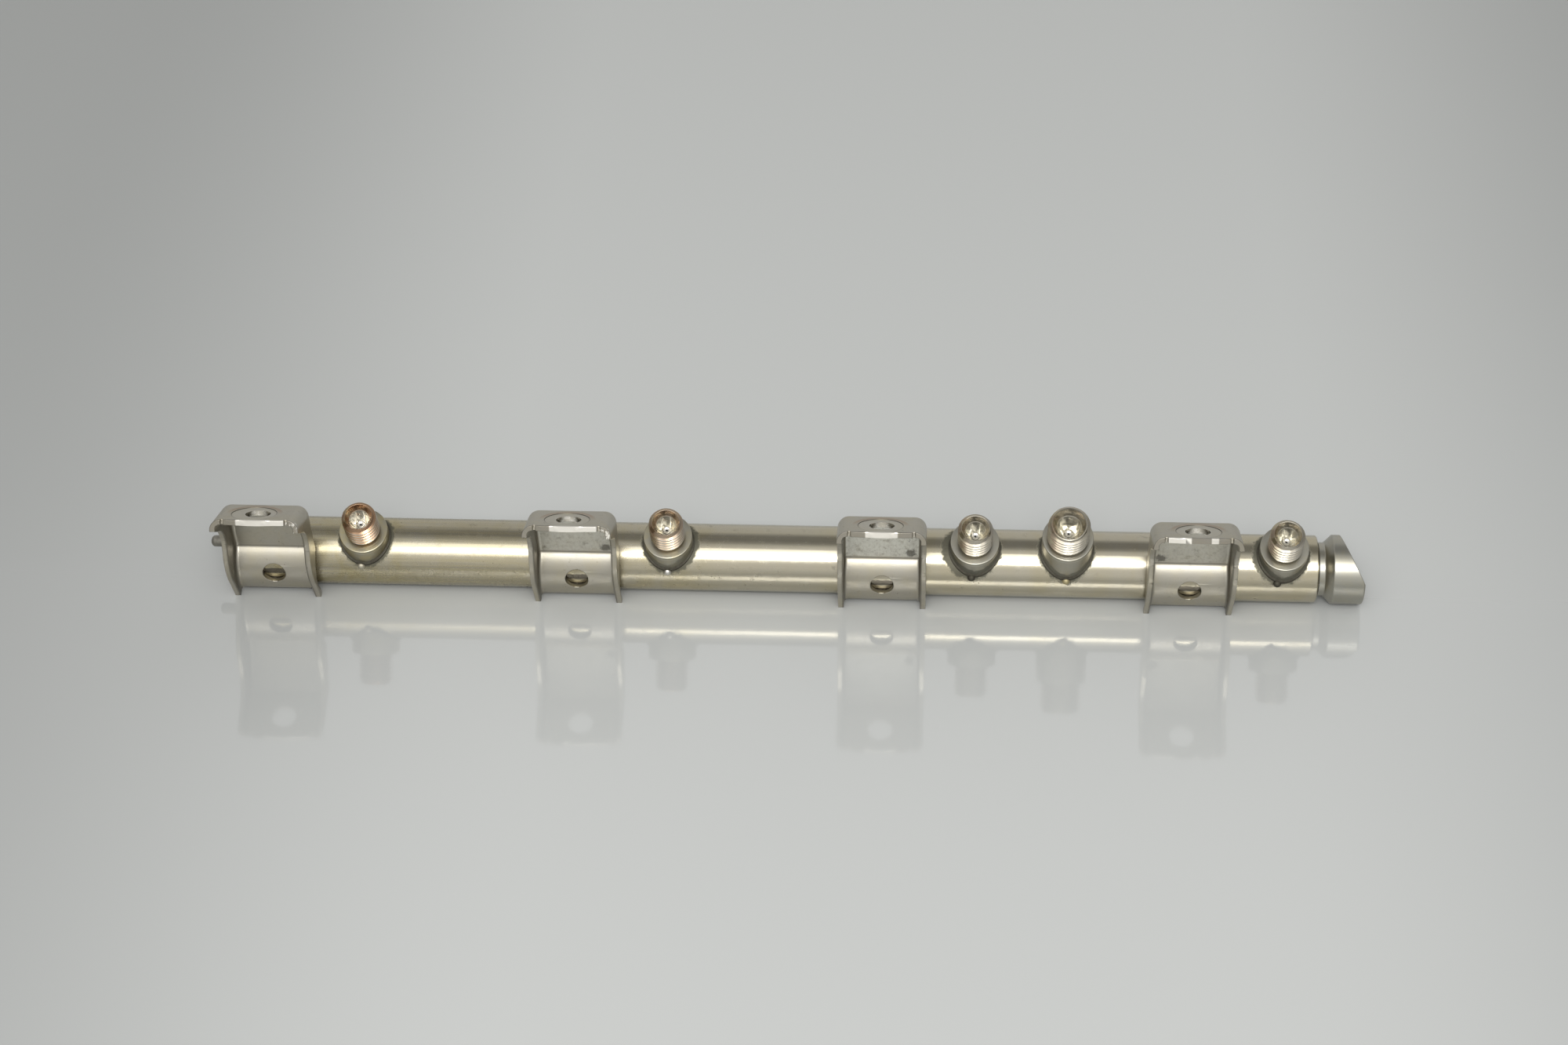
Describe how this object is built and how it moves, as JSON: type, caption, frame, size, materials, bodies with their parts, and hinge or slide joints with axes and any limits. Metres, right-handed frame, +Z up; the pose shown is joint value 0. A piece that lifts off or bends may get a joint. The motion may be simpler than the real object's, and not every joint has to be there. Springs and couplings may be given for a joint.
{
  "type": "fuel rail",
  "caption": "Straight brazed steel fuel rail: long tube with upright threaded nipples, stamped channel brackets with bolt holes and a turned end plug.",
  "frame": {"origin": "middle of the part's footprint, on the surface it rests on", "axes": "+X along the tube from the locating pin to the end plug, -Y towards the bolt plates, +Z up as it rests on the brackets' feet and the plug's collar"},
  "size_m": [0.334, 0.0382, 0.0398],
  "materials": {
    "tube_steel": "drawn stainless, semi-gloss, lightly stained",
    "bracket_steel": "pressed sheet, matt from furnace brazing, dark stains in the creases",
    "nipple_steel": "turned, semi-gloss, yellow to brown heat tint on the threads",
    "plug_steel": "turned, semi-gloss",
    "braze_filler": "dull dark braze fillet"
  },
  "bodies": {
    "root": {"bracket_1": "bracket_steel", "bracket_2": "bracket_steel", "bracket_3": "bracket_steel", "bracket_4": "bracket_steel", "bracket_braze_1_left": "braze_filler", "bracket_braze_1_right": "braze_filler", "bracket_braze_2_left": "braze_filler", "bracket_braze_2_right": "braze_filler", "bracket_braze_3_left": "braze_filler", "bracket_braze_3_right": "braze_filler", "bracket_braze_4_left": "braze_filler", "bracket_braze_4_right": "braze_filler", "closing_plug": "plug_steel", "closing_plug_braze": "braze_filler", "end_plug": "plug_steel", "end_plug_braze": "braze_filler", "injector_port_1": "nipple_steel", "injector_port_2": "nipple_steel", "injector_port_3": "nipple_steel", "injector_port_4": "nipple_steel", "inlet_braze": "braze_filler", "inlet_port": "nipple_steel", "locating_pin": "plug_steel", "port_braze_1": "braze_filler", "port_braze_2": "braze_filler", "port_braze_3": "braze_filler", "port_braze_4": "braze_filler", "rail_tube": "tube_steel"}
  },
  "joints": []
}
